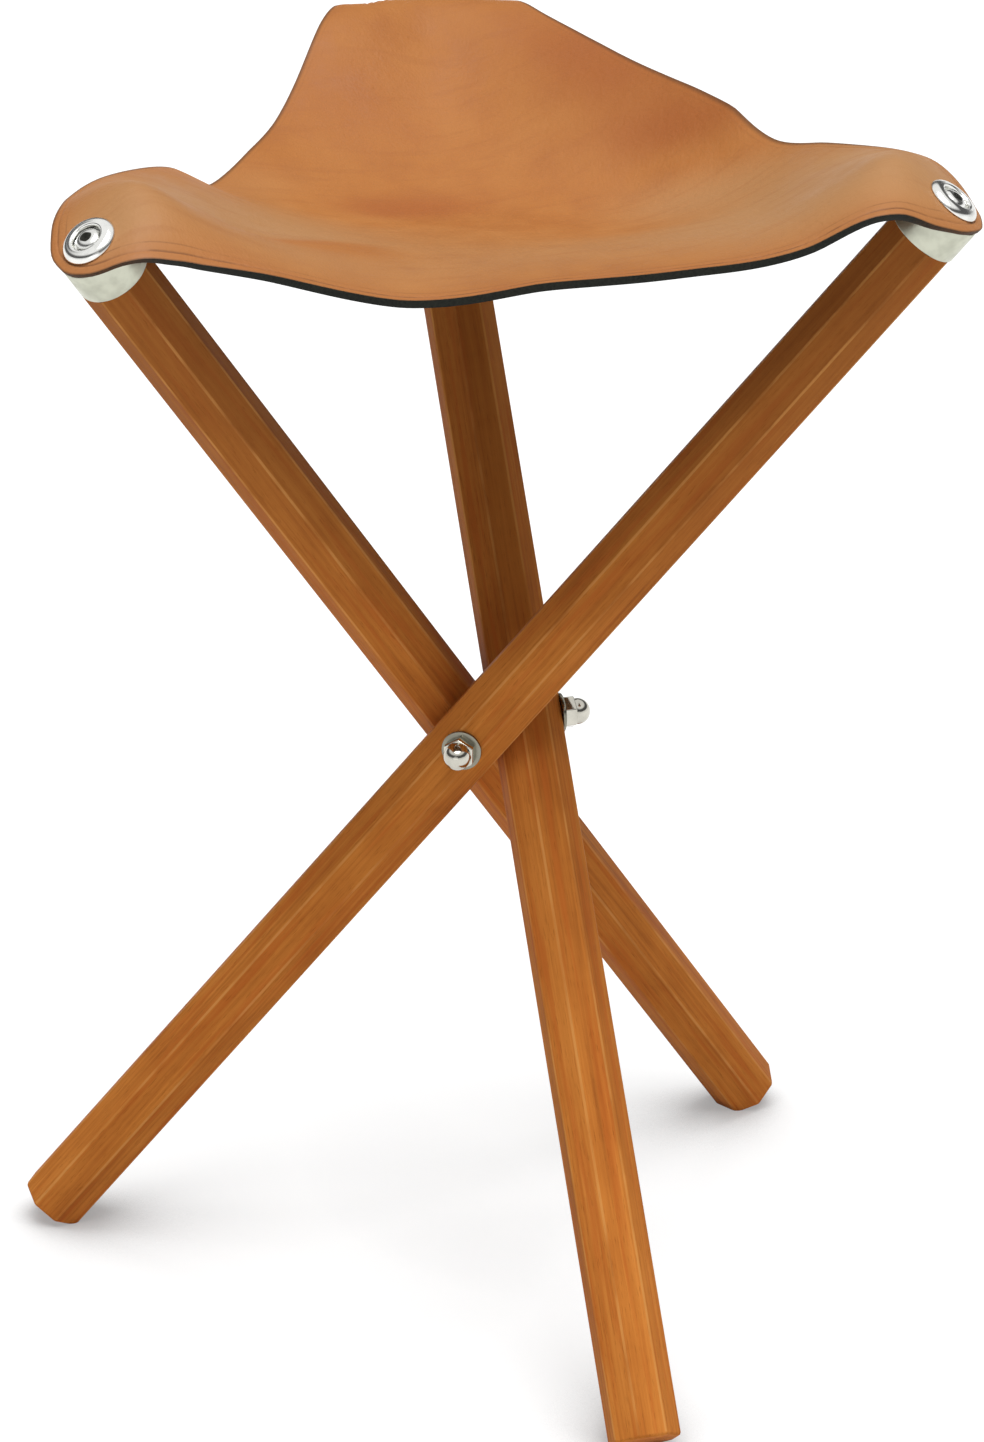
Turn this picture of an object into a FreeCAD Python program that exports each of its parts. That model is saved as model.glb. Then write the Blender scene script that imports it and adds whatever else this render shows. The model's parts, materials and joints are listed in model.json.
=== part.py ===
import FreeCAD
import Part
import Sketcher
import math
import os
import re

# Folding three-leg stool. Millimetres and degrees, +Z up, floor at z = 0.
# The viewer stands on the -Y side. Each leg is named by the seat corner that it carries.

# Driving dimensions: name, value, meaning.
SIZES = [
    ("leg_across_flats", 30.0, "octagonal leg, flat to flat"),
    ("leg_length", 660.0, "leg, foot end to top end"),
    ("pivot_from_foot", 328.0, "foot end to the centre of the bolt hole"),
    ("open_tilt", 38.0, "open leg, angle from upright"),
    ("pivot_offset", 20.0, "middle of the three-way bolt to each leg's axis"),
    ("foot_chamfer", 1.5, "eased edge round the foot end"),
    ("foot_bevel", 2.0, "height taken off the foot's lowest edge to stand flat"),
    ("arm_diameter", 8.0, "arm of the three-way bolt"),
    ("arm_clearance", 0.05, "radial running clearance of an arm in its leg"),
    ("knuckle_height", 15.0, "upright knuckle that joins the three arms"),
    ("knuckle_gap", 0.3, "knuckle to the inner flat of each leg"),
    ("knuckle_chamfer", 1.0, "eased ends of the knuckle"),
    ("washer_diameter", 18.0, "flat washer under a cap nut"),
    ("washer_thickness", 1.5, "flat washer under a cap nut"),
    ("washer_gap", 0.1, "running gap between leg and flat washer"),
    ("nut_across_flats", 13.0, "cap nut, flat to flat"),
    ("nut_hex_height", 5.5, "hexagonal part of the cap nut"),
    ("nut_height", 13.0, "cap nut, seat to top of the dome"),
    ("nut_dome_diameter", 12.0, "dome of the cap nut"),
    ("nut_bore_depth", 9.5, "blind thread of the cap nut"),
    ("nut_bore_spare", 1.0, "empty end of the blind thread"),
    ("thread_clearance", 0.05, "radial gap between arm and cap nut"),
    ("ferrule_diameter", 32.0, "ferrule on the leg's top end, outside"),
    ("ferrule_wall", 1.2, "ferrule wall"),
    ("ferrule_length", 16.0, "ferrule along the leg"),
    ("ferrule_clearance", 0.05, "radial gap between ferrule and leg"),
    ("ferrule_easing", 0.4, "rounded rims of the ferrule"),
    ("cup_diameter", 24.0, "finishing washer on the leather tip, outside"),
    ("cup_height", 3.2, "finishing washer, seat to crown"),
    ("cup_crown_diameter", 16.0, "finishing washer, circle of the crown"),
    ("cup_rim", 0.9, "finishing washer, edge thickness"),
    ("cup_shoulder_arch", 0.6, "finishing washer, swell of its outer slope"),
    ("cup_throat_arch", 0.5, "finishing washer, swell of its inner slope"),
    ("screw_diameter", 5.0, "seat screw, shank"),
    ("screw_length", 42.0, "seat screw, below its head"),
    ("screw_point", 6.0, "seat screw, tapered end"),
    ("screw_head_diameter", 11.0, "seat screw, countersunk head"),
    ("screw_head_crown", 1.4, "seat screw, raised top of the head"),
    ("screw_head_edge", 0.4, "seat screw, straight edge of the head"),
    ("screw_head_arch", 0.5, "seat screw, swell of the raised top"),
    ("screw_clearance", 0.05, "radial gap round the screw in wood, leather and washer"),
    ("recess_across_flats", 4.0, "hexagonal recess in the screw's head"),
    ("recess_depth", 2.2, "hexagonal recess in the screw's head"),
    ("leather_thickness", 3.5, "seat leather"),
    ("leather_gap", 0.2, "leather to leg end, and leather to finishing washer"),
    ("leather_press", 0.15, "how far the leather is pressed in by the leg end and by the finishing washer"),
    ("tip_radius", 18.0, "rounded leather tip round the screw"),
    ("tip_droop", 3.0, "fall of the leather at the tip's sides"),
    ("ridge_inset", 22.0, "screw to the ridge of the leather, across the floor"),
    ("ridge_half_width", 40.0, "half width of the leather on the ridge"),
    ("ridge_droop", 6.0, "fall of the ridge at its two sides"),
    ("slack_droop", 21.0, "fall of the left ridge at its front side, where the leather is slack"),
    ("climb_tilt", 26.5, "rise of the leather on its way up to the ridge, angle from level"),
    ("ridge_softness", 2.0, "how far the bend keeps the ridge below a sharp fold"),
    ("front_edge_reach", 118.0, "bolt's axis to the middle of the seat's front edge"),
    ("right_edge_reach", 126.0, "bolt's axis to the middle of the seat's right edge"),
    ("left_edge_reach", 116.0, "bolt's axis to the middle of the seat's left edge"),
    ("front_edge_sag", 21.0, "leg ends' centres down to the middle of the front edge"),
    ("right_edge_sag", 3.0, "leg ends' centres down to the middle of the right edge"),
    ("left_edge_sag", 17.0, "leg ends' centres down to the middle of the left edge"),
    ("middle_sag", 32.0, "leg ends' centres down to the seat's middle"),
    ("middle_inradius", 72.0, "seat middle to each side of the sagging middle part"),
]

# Seat corner: direction of its leg's top, counted from +X towards +Y.
CORNERS = {"left": -150.0, "right": -30.0, "rear": 90.0}
# Free edge of the seat: direction of its middle.
EDGES = {"front": -90.0, "right": 30.0, "left": 150.0}
# Edges beside each corner: on its bolt arm's side, then on the other.
CORNER_EDGES = {"left": ("left", "front"), "right": ("front", "right"), "rear": ("right", "left")}
# The side of a corner where the photographed leather hangs slack.
SLACK_SIDE = ("left", "front")
EIGHTH = 45.0
CLIMB_STATIONS = 7
LEAST_ARCH = 0.05
WORLD_UP = FreeCAD.Vector(0, 0, 1)

doc = FreeCAD.newDocument("FoldingStool")
sheet = doc.addObject("Spreadsheet::Sheet", "Sizes")
pieces = []


def fill_sheet():
    for row, (alias, value, meaning) in enumerate(SIZES, start=1):
        sheet.set(f"A{row}", meaning)
        sheet.set(f"B{row}", str(value))
        sheet.setAlias(f"B{row}", alias)
    doc.recompute()


def size(alias):
    return float(sheet.get(alias))


def measure(expression):
    """The value of an expression of the sheet's sizes."""
    return float(sheet.evalExpression(expression))


def sized(expression):
    """The same expression, as another object of the document has to write it."""
    names = "|".join(alias for alias, _, _ in SIZES)
    return re.sub(rf"\b({names})\b", r"Sizes.\1", expression)


def new_body(label):
    body = doc.addObject("PartDesign::Body", label)
    body.Label = label
    pieces.append(body)
    return body


def add_feature(body, kind, name, **expressions):
    """A PartDesign feature whose properties are bound to the sheet."""
    feature = body.newObject("PartDesign::" + kind, name)
    for prop, expression in expressions.items():
        feature.setExpression(prop, sized(expression))
    return feature


def origin_plane(body, role):
    return [plane for plane in body.Origin.OriginFeatures if plane.Role == role][0]


def turn_profile(body, name, corners):
    """Revolve a closed outline round the body's Z axis.

    Each corner is (radius, height) or (radius, height, bulge): expressions of the sheet, where
    the bulge is how far the line to the next corner is arched outwards, up or away from the axis.
    """
    sketch = body.newObject("Sketcher::SketchObject", name + "_outline")
    sketch.AttachmentSupport = (origin_plane(body, "XZ_Plane"), "")
    sketch.MapMode = "FlatFace"
    points = [FreeCAD.Vector(measure(c[0]), measure(c[1]), 0) for c in corners]
    for index, corner in enumerate(corners):
        start = points[index]
        end = points[(index + 1) % len(points)]
        if len(corner) == 3:
            run = end - start
            side = FreeCAD.Vector(run.y, -run.x, 0).normalize()
            middle = (start + end) / 2 + side * measure(corner[2])
            sketch.addGeometry(Part.Arc(start, middle, end))
        else:
            sketch.addGeometry(Part.LineSegment(start, end))
    for index, corner in enumerate(corners):
        previous = (index - 1) % len(corners)
        first = edge_ends(sketch.Geometry[index], points[index])[0]
        before = edge_ends(sketch.Geometry[previous], points[previous])[1]
        sketch.addConstraint(Sketcher.Constraint("Coincident", previous, before, index, first))
        pin_coordinate(sketch, "DistanceX", index, first, corner[0])
        pin_coordinate(sketch, "DistanceY", index, first, corner[1])
        if len(corner) == 3:
            chord = f"(({corners[(index + 1) % len(corners)][0]} - ({corner[0]}))^2"
            chord += f" + ({corners[(index + 1) % len(corners)][1]} - ({corner[1]}))^2)"
            radius = f"({chord} / 4 + ({corner[2]})^2) / (2 * ({corner[2]}))"
            number = sketch.addConstraint(Sketcher.Constraint("Radius", index, measure(radius)))
            sketch.setExpression(f"Constraints[{number}]", sized(radius))
    doc.recompute()
    turned = body.newObject("PartDesign::Revolution", name)
    turned.Profile = sketch
    turned.ReferenceAxis = (sketch, ["V_Axis"])
    turned.Angle = 360
    doc.recompute()
    return turned


def edge_ends(edge, start):
    """Sketch numbers of an edge's first and last point: an arc may run backwards."""
    if edge.StartPoint.distanceToPoint(start) < edge.EndPoint.distanceToPoint(start):
        return 1, 2
    return 2, 1


def pin_coordinate(sketch, kind, edge, point, expression):
    axis = -2 if kind == "DistanceX" else -1
    if measure(expression) == 0:
        sketch.addConstraint(Sketcher.Constraint("PointOnObject", edge, point, axis))
        return
    value = measure(expression)
    number = sketch.addConstraint(Sketcher.Constraint(kind, -1, 1, edge, point, value))
    sketch.setExpression(f"Constraints[{number}]", sized(expression))


def face_at_height(feature, height):
    """Name of the flat face that lies at a height."""
    for number, face in enumerate(feature.Shape.Faces, start=1):
        box = face.BoundBox
        if abs(box.ZMin - height) < 1e-6 and abs(box.ZMax - height) < 1e-6:
            return f"Face{number}"
    raise RuntimeError("no flat face at the height asked for")


def along_x(start):
    """Placement that lays a primitive's Z axis along +X, with its base at start."""
    return FreeCAD.Placement(FreeCAD.Vector(start, 0, 0), FreeCAD.Rotation(FreeCAD.Vector(0, 1, 0), 90))


def knuckle_height_above_floor():
    tilt = math.radians(size("open_tilt"))
    foot = size("pivot_from_foot") * math.cos(tilt)
    heel = size("leg_across_flats") / 2 * math.sin(tilt)
    return foot + heel - size("foot_bevel")


def corner_directions(corner):
    """Level unit vectors of a corner: outwards along its leg's lean, and along its bolt arm."""
    angle = math.radians(CORNERS[corner])
    lean = FreeCAD.Vector(math.cos(angle), math.sin(angle), 0)
    arm = FreeCAD.Vector(math.sin(angle), -math.cos(angle), 0)
    return lean, arm


def arm_placement(corner, hub):
    """Frame on the bolt's middle: +X along the corner's arm, +Z up."""
    lean, arm = corner_directions(corner)
    rotation = FreeCAD.Rotation(arm, lean, WORLD_UP, "XYZ")
    return FreeCAD.Placement(hub, rotation)


def leg_placement(corner, hub):
    """Frame on the leg's axis at its bolt hole: +X along the bolt arm, +Z up the leg."""
    lean, arm = corner_directions(corner)
    tilt = math.radians(size("open_tilt"))
    up_leg = lean * math.sin(tilt) + WORLD_UP * math.cos(tilt)
    rotation = FreeCAD.Rotation(arm, up_leg.cross(arm), up_leg, "XYZ")
    return FreeCAD.Placement(hub + arm * size("pivot_offset"), rotation)


def make_leg(corner, hub):
    body = new_body(corner + "_leg")
    stave = add_feature(
        body, "AdditivePrism", corner + "_stave",
        Circumradius="leg_across_flats / 2 / cos(22.5)",
        Height="leg_length - ferrule_length",
    )
    stave.Polygon = 8
    stave.Placement.Rotation = FreeCAD.Rotation(WORLD_UP, EIGHTH / 2)
    stave.setExpression("Placement.Base.z", sized("-pivot_from_foot"))
    spigot = add_feature(
        body, "AdditiveCylinder", corner + "_spigot",
        Radius="ferrule_diameter / 2 - ferrule_wall - ferrule_clearance",
        Height="ferrule_length",
    )
    spigot.setExpression("Placement.Base.z", sized("leg_length - pivot_from_foot - ferrule_length"))
    bore = add_feature(
        body, "SubtractiveCylinder", corner + "_bolt_hole",
        Radius="arm_diameter / 2 + arm_clearance",
        Height="2 * leg_across_flats",
    )
    bore.Placement = along_x(-size("leg_across_flats"))
    pilot = add_feature(
        body, "SubtractiveCylinder", corner + "_screw_hole",
        Radius="screw_diameter / 2 + screw_clearance",
        Height="screw_length",
    )
    pilot.setExpression("Placement.Base.z", sized("leg_length - pivot_from_foot - screw_length"))
    doc.recompute()
    eased = add_feature(body, "Chamfer", corner + "_foot_edge", Size="foot_chamfer")
    eased.Base = (pilot, [face_at_height(pilot, -size("pivot_from_foot"))])
    doc.recompute()
    cut_foot_bevel(body, corner)
    body.Placement = leg_placement(corner, hub)


def cut_foot_bevel(body, corner):
    """Cut the foot level with the floor: a box whose top face is the floor, seen from the leg."""
    bevel = add_feature(
        body, "SubtractiveBox", corner + "_foot_bevel",
        Length="2 * leg_across_flats",
        Width="2 * leg_across_flats",
        Height="leg_across_flats",
    )
    tilt = math.radians(size("open_tilt"))
    half = size("leg_across_flats") / 2
    heel = FreeCAD.Vector(0, half, -size("pivot_from_foot"))
    floor_up = FreeCAD.Vector(0, -math.sin(tilt), math.cos(tilt))
    floor_along = FreeCAD.Vector(0, math.cos(tilt), math.sin(tilt))
    width = 2 * size("leg_across_flats")
    corner_point = heel + floor_up * (size("foot_bevel") - size("leg_across_flats"))
    corner_point = corner_point - floor_along * (width / 2) - FreeCAD.Vector(width / 2, 0, 0)
    rotation = FreeCAD.Rotation(FreeCAD.Vector(1, 0, 0), size("open_tilt"))
    bevel.Placement = FreeCAD.Placement(corner_point, rotation)


def make_ferrule(corner, hub):
    body = new_body(corner + "_ferrule")
    outside = "ferrule_diameter / 2"
    inside = "ferrule_diameter / 2 - ferrule_wall"
    top = "leg_length - pivot_from_foot"
    bottom = "leg_length - pivot_from_foot - ferrule_length"
    turn_profile(body, corner + "_ring", [
        (inside, bottom),
        (outside + " - ferrule_easing", bottom),
        (outside, bottom + " + ferrule_easing"),
        (outside, top + " - ferrule_easing"),
        (outside + " - ferrule_easing", top),
        (inside, top),
    ])
    body.Placement = leg_placement(corner, hub)


def washer_seat():
    """Height of the finishing washer's seat above the bolt hole, up the leg."""
    return "(leg_length - pivot_from_foot + leather_thickness + 2 * leather_gap - leather_press)"


def make_cup_washer(corner, hub):
    """Dished ring with a round crown, and a cone inside that takes the screw's head."""
    body = new_body(corner + "_cup_washer")
    seat = washer_seat()
    shank = "screw_diameter / 2 + screw_clearance"
    head = "screw_head_diameter / 2"
    turn_profile(body, corner + "_cup", [
        (shank, seat),
        ("cup_diameter / 2", seat),
        ("cup_diameter / 2", seat + " + cup_rim", "cup_shoulder_arch"),
        ("cup_crown_diameter / 2", seat + " + cup_height", "cup_throat_arch"),
        (head + " + 2 * screw_clearance", seat + " + cup_height - screw_head_crown"),
        (shank, seat + " + cup_rim"),
    ])
    body.Placement = leg_placement(corner, hub)


def make_screw(corner, hub):
    """Raised countersunk wood screw with a hexagonal recess, driven down the leg's axis."""
    body = new_body(corner + "_seat_screw")
    seat = washer_seat()
    shank = "screw_diameter / 2"
    head = "screw_head_diameter / 2"
    edge = seat + " + cup_height - screw_head_crown + screw_clearance"
    tip = "(leg_length - pivot_from_foot - screw_length)"
    turn_profile(body, corner + "_screw", [
        ("0", tip + " + screw_clearance"),
        (shank, tip + " + screw_point"),
        (shank, seat + " + cup_rim"),
        (head, edge),
        (head, edge + " + screw_head_edge", "screw_head_arch"),
        ("0", edge + " + screw_head_edge + screw_head_crown"),
    ])
    recess = add_feature(
        body, "SubtractivePrism", corner + "_recess",
        Circumradius="recess_across_flats / 2 / cos(30)",
        Height="recess_depth + screw_head_crown",
    )
    recess.Polygon = 6
    floor = edge + " + screw_head_edge + screw_head_crown - recess_depth"
    recess.setExpression("Placement.Base.z", sized(floor))
    body.Placement = leg_placement(corner, hub)


def nut_seat():
    """Distance of a cap nut's seat from the bolt's middle."""
    return "(pivot_offset + leg_across_flats / 2 + washer_gap + washer_thickness)"


def make_three_way_bolt(hub):
    body = new_body("three_way_bolt")
    knuckle = add_feature(
        body, "AdditiveCylinder", "knuckle",
        Radius="pivot_offset - leg_across_flats / 2 - knuckle_gap",
        Height="knuckle_height",
    )
    knuckle.setExpression("Placement.Base.z", sized("-knuckle_height / 2"))
    doc.recompute()
    eased = add_feature(body, "Chamfer", "knuckle_ends", Size="knuckle_chamfer")
    ends = [face_at_height(knuckle, side * size("knuckle_height") / 2) for side in (-1, 1)]
    eased.Base = (knuckle, ends)
    doc.recompute()
    arm = add_feature(
        body, "AdditiveCylinder", "arm",
        Radius="arm_diameter / 2",
        Height=nut_seat() + " + nut_bore_depth - nut_bore_spare",
    )
    arm.Placement = along_x(0)
    doc.recompute()
    arms = body.newObject("PartDesign::PolarPattern", "arms")
    arms.Originals = [arm]
    arms.Axis = (origin_plane(body, "Z_Axis"), [""])
    arms.Angle = 360
    arms.Occurrences = len(CORNERS)
    body.Tip = arms
    body.Placement = arm_placement("rear", hub)


def make_bolt_washer(corner, hub):
    body = new_body(corner + "_bolt_washer")
    disc = add_feature(
        body, "AdditiveCylinder", corner + "_disc",
        Radius="washer_diameter / 2",
        Height="washer_thickness",
    )
    start = "pivot_offset + leg_across_flats / 2 + washer_gap"
    disc.Placement = along_x(measure(start))
    hole = add_feature(
        body, "SubtractiveCylinder", corner + "_disc_hole",
        Radius="arm_diameter / 2 + thread_clearance",
        Height="washer_thickness",
    )
    hole.Placement = along_x(measure(start))
    body.Placement = arm_placement(corner, hub)


def make_cap_nut(corner, hub):
    """Hexagon, neck and dome, with a blind thread for the bolt's arm."""
    body = new_body(corner + "_cap_nut")
    start = measure(nut_seat())
    hexagon = add_feature(
        body, "AdditivePrism", corner + "_hexagon",
        Circumradius="nut_across_flats / 2 / cos(30)",
        Height="nut_hex_height",
    )
    hexagon.Polygon = 6
    hexagon.Placement = along_x(start)
    neck = add_feature(
        body, "AdditiveCylinder", corner + "_neck",
        Radius="nut_dome_diameter / 2",
        Height="nut_height - nut_dome_diameter / 2",
    )
    neck.Placement = along_x(start)
    dome = add_feature(body, "AdditiveSphere", corner + "_dome", Radius="nut_dome_diameter / 2")
    dome.Placement = along_x(start + measure("nut_height - nut_dome_diameter / 2"))
    thread = add_feature(
        body, "SubtractiveCylinder", corner + "_thread",
        Radius="arm_diameter / 2 + thread_clearance",
        Height="nut_bore_depth",
    )
    thread.Placement = along_x(start)
    body.Placement = arm_placement(corner, hub)


def leather_section(lean_at, arm_at, halves, middle, sides, thickness):
    """Closed wire across the leather, on an upright plane square to the corner's lean.

    Its top is an arc through middle on the centre line. halves and sides are the half widths
    and the heights of its two ends, first towards the bolt arm and then away from it.
    """
    near = FreeCAD.Vector(arm_at + halves[0], lean_at, sides[0])
    far = FreeCAD.Vector(arm_at - halves[1], lean_at, sides[1])
    chord = sides[1] + (sides[0] - sides[1]) * halves[1] / (halves[0] + halves[1])
    arch = middle - chord
    if abs(arch) < LEAST_ARCH:
        arch = LEAST_ARCH
    centre = FreeCAD.Vector(arm_at, lean_at, chord + arch)
    down = FreeCAD.Vector(0, 0, -thickness)
    top = Part.Arc(far, centre, near).toShape()
    bottom = Part.Arc(far + down, centre + down, near + down).toShape()
    near_side = Part.makeLine(near, near + down)
    far_side = Part.makeLine(far + down, far)
    return Part.Wire(Part.__sortEdges__([top, near_side, bottom, far_side]))


def edge_half_width(edge):
    """Half width of the leather, towards one free edge, where the middle meets a corner."""
    return (size(edge + "_edge_reach") - size("middle_inradius") / 2) / math.sin(math.radians(60))


def sag_bowl():
    """Centre and radius of the round sag: it passes through the middles of the three free edges.

    Heights are from the centres of the leg ends.
    """
    lowest = FreeCAD.Vector(0, 0, -size("middle_sag"))
    rows = []
    squares = []
    for edge, angle in EDGES.items():
        reach = size(edge + "_edge_reach")
        turn = math.radians(angle)
        point = FreeCAD.Vector(reach * math.cos(turn), reach * math.sin(turn), -size(edge + "_edge_sag"))
        rows.append(point - lowest)
        squares.append((point.dot(point) - lowest.dot(lowest)) / 2)
    spread = FreeCAD.Matrix(*rows[0], 0, *rows[1], 0, *rows[2], 0, 0, 0, 0, 1)
    centre = spread.inverse().multVec(FreeCAD.Vector(*squares))
    return centre, centre.distanceToPoint(lowest)


def eased(share, start, end, start_slope, end_slope, run):
    """Smooth height between two stations that leaves and arrives on the given slopes."""
    back = 1 - share
    ends = start * back ** 2 * (1 + 2 * share) + end * share ** 2 * (3 - 2 * share)
    return ends + run * (start_slope * share * back ** 2 - end_slope * share ** 2 * back)


def tip_outline(tilt):
    """Half widths from the ridge to the tip: two straight sides that run onto a round end.

    Each entry is the distance from the screw down the leg's end, and the half width there.
    """
    inset = size("ridge_inset") / math.cos(tilt)
    half = size("ridge_half_width")
    tip = size("tip_radius")
    touch = math.atan2(half, -inset) - math.acos(tip / math.hypot(inset, half))
    touch_out = tip * math.cos(touch)
    touch_half = tip * math.sin(touch)
    outline = []
    for share in (0, 0.12, 0.25, 0.45, 0.75, 1):
        outline.append((-inset + share * (touch_out + inset), half + share * (touch_half - half)))
    for share in (0.68, 0.4, 0.18):
        outline.append((tip * math.cos(share * touch), tip * math.sin(share * touch)))
    return outline


def bowl_height(lean, arm, lean_at, arm_at):
    """Height and uphill slope of the round sag at a place given along a corner's two directions."""
    centre, radius = sag_bowl()
    away = lean * lean_at + arm * arm_at - FreeCAD.Vector(centre.x, centre.y, 0)
    drop = math.sqrt(radius ** 2 - away.dot(away))
    return centre.z - drop, away.dot(lean) / drop


def corner_sides(corner):
    """The corner's two sides, towards its bolt arm and away from it, each with its free edge."""
    return [(corner, edge) for edge in CORNER_EDGES[corner]]


def corner_sections(corner):
    """Sections from the sagging middle over the ridge to the tip, heights from the leg end."""
    tilt = math.radians(size("open_tilt"))
    lean, arm = corner_directions(corner)
    screw = (size("leg_length") - size("pivot_from_foot")) * math.sin(tilt)
    offset = size("pivot_offset")
    thick = size("leather_thickness")
    sloped = thick / math.cos(tilt)
    top = (thick + size("leather_gap")) / math.cos(tilt)
    inset = size("ridge_inset")
    crest = inset * math.tan(tilt) + top - size("ridge_softness")
    droops = [size("slack_droop" if side == SLACK_SIDE else "ridge_droop") for side in corner_sides(corner)]
    ridge_half = size("ridge_half_width")
    start = size("middle_inradius")
    run = screw - inset - start
    halves = [edge_half_width(edge) for _, edge in corner_sides(corner)]
    low, slope = bowl_height(lean, arm, start, 0)
    low_sides = [bowl_height(lean, arm, start, across)[0] for across in (halves[0], -halves[1])]
    climb = math.tan(math.radians(size("climb_tilt")))
    sections = []
    for station in range(CLIMB_STATIONS):
        share = station / CLIMB_STATIONS
        sections.append((
            start + share * run,
            share * offset,
            [half + share * (ridge_half - half) for half in halves],
            eased(share, low, crest, slope, climb, run),
            [eased(share, side, crest - droop, slope, climb, run) for side, droop in zip(low_sides, droops)],
            thick + share * (sloped - thick),
        ))
    for out, half in tip_outline(tilt):
        past = 1 + out * math.cos(tilt) / inset
        height = top - out * math.sin(tilt) - size("ridge_softness") * max(0, 1 - past / 0.4) ** 2
        tip_droop = size("tip_droop") * min(1, half / size("tip_radius"))
        fade = max(0, 1 - past)
        sides = [height - tip_droop - (droop - tip_droop) * fade for droop in droops]
        sections.append((screw + out * math.cos(tilt), offset, [half, half], height, sides, sloped))
    return sections


def make_seat(hub):
    """One sheet of leather: a round sag in the middle and three corners bent over the legs."""
    tilt = math.radians(size("open_tilt"))
    leather = sagging_middle()
    for corner, angle in CORNERS.items():
        wires = [leather_section(*section) for section in corner_sections(corner)]
        flap = Part.makeLoft(wires, True, True)
        flap.rotate(FreeCAD.Vector(0, 0, 0), WORLD_UP, angle - CORNERS["rear"])
        leather = leather.fuse(flap)
    leg_end = (size("leg_length") - size("pivot_from_foot")) * math.cos(tilt)
    leather.translate(hub + WORLD_UP * leg_end)
    for corner in CORNERS:
        for cutter in corner_cutters():
            cutter.Placement = leg_placement(corner, hub)
            leather = leather.cut(cutter)
    seat = doc.addObject("Part::Feature", "seat")
    seat.Label = "seat"
    seat.Shape = leather.removeSplitter()
    pieces.append(seat)


def sagging_middle():
    """Round bowl, cut to the triangle between the three corners, heights from the leg ends.

    The spheres lie on their sides, which keeps their poles and seams off the seat.
    """
    centre, radius = sag_bowl()
    thick = size("leather_thickness")
    hollow = Part.makeSphere(radius)
    hollow.rotate(FreeCAD.Vector(0, 0, 0), FreeCAD.Vector(0, 1, 0), -90)
    under = hollow.copy()
    hollow.translate(centre)
    under.translate(centre - WORLD_UP * thick)
    inradius = size("middle_inradius")
    outline = []
    for corner in CORNERS:
        lean, arm = corner_directions(corner)
        arm_edge, other_edge = CORNER_EDGES[corner]
        outline.append(lean * inradius + arm * edge_half_width(arm_edge))
        outline.append(lean * inradius - arm * edge_half_width(other_edge))
    order = sorted(outline, key=lambda point: math.atan2(point.y, point.x))
    depth = 4 * (size("middle_sag") + thick)
    block = Part.Face(Part.makePolygon(order + order[:1])).extrude(WORLD_UP * depth)
    block.translate(WORLD_UP * (-depth / 2))
    return block.common(under).cut(hollow)


def corner_cutters():
    """Room in the leather for the leg's end, the finishing washer and the screw, in the leg's frame."""
    end = size("leg_length") - size("pivot_from_foot")
    gap = size("leather_gap")
    press = size("leather_press")
    up = FreeCAD.Vector(0, 0, 1)
    leg_room = Part.makeCylinder(
        size("ferrule_diameter") / 2 + gap, 2 * size("ferrule_length"),
        FreeCAD.Vector(0, 0, end + gap + press - 2 * size("ferrule_length")), up)
    washer_room = Part.makeCylinder(
        size("cup_diameter") / 2 + gap, 2 * size("cup_height"),
        FreeCAD.Vector(0, 0, end + gap + size("leather_thickness") - press), up)
    hole = Part.makeCylinder(
        size("screw_diameter") / 2 + gap, 4 * size("leather_thickness"),
        FreeCAD.Vector(0, 0, end - size("leather_thickness")), up)
    return leg_room, washer_room, hole


def centre_on_floor():
    """Shift the stool level until the middle of its box stands on the origin."""
    box = FreeCAD.BoundBox()
    for piece in pieces:
        box.add(piece.Shape.optimalBoundingBox(False, False))
    middle = FreeCAD.Vector(box.Center.x, box.Center.y, 0)
    for piece in pieces:
        piece.Placement.Base = piece.Placement.Base - middle
    height = knuckle_height_above_floor()
    print(f"knuckle middle at x {-middle.x:.4f} y {-middle.y:.4f} z {height:.4f}")


def check_and_write():
    """Refuse a failed or broken piece, then write one file for each."""
    doc.recompute()
    for item in doc.Objects:
        if "Invalid" in item.State or "Error" in item.State:
            raise RuntimeError(f"{item.Label} failed: {item.State}")
    for piece in pieces:
        if piece.Shape.isNull() or not piece.Shape.isValid():
            raise RuntimeError(f"{piece.Label} has no valid shape")
        if len(piece.Shape.Solids) != 1:
            raise RuntimeError(f"{piece.Label} is {len(piece.Shape.Solids)} solids")
    os.makedirs("parts", exist_ok=True)
    for piece in pieces:
        piece.Shape.exportStep(f"parts/{piece.Label}.step")
        box = piece.Shape.BoundBox
        print(f"{piece.Label:20s} {piece.Shape.Volume:10.1f} mm3  z {box.ZMin:7.2f} to {box.ZMax:7.2f}")


def main():
    fill_sheet()
    hub = FreeCAD.Vector(0, 0, knuckle_height_above_floor())
    make_three_way_bolt(hub)
    for corner in CORNERS:
        make_leg(corner, hub)
        make_ferrule(corner, hub)
        make_cup_washer(corner, hub)
        make_screw(corner, hub)
        make_bolt_washer(corner, hub)
        make_cap_nut(corner, hub)
    make_seat(hub)
    doc.recompute()
    centre_on_floor()
    check_and_write()


main()
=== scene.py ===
import json
import math

import bmesh
import bpy
import numpy as np
from mathutils import Matrix, Vector


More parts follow.
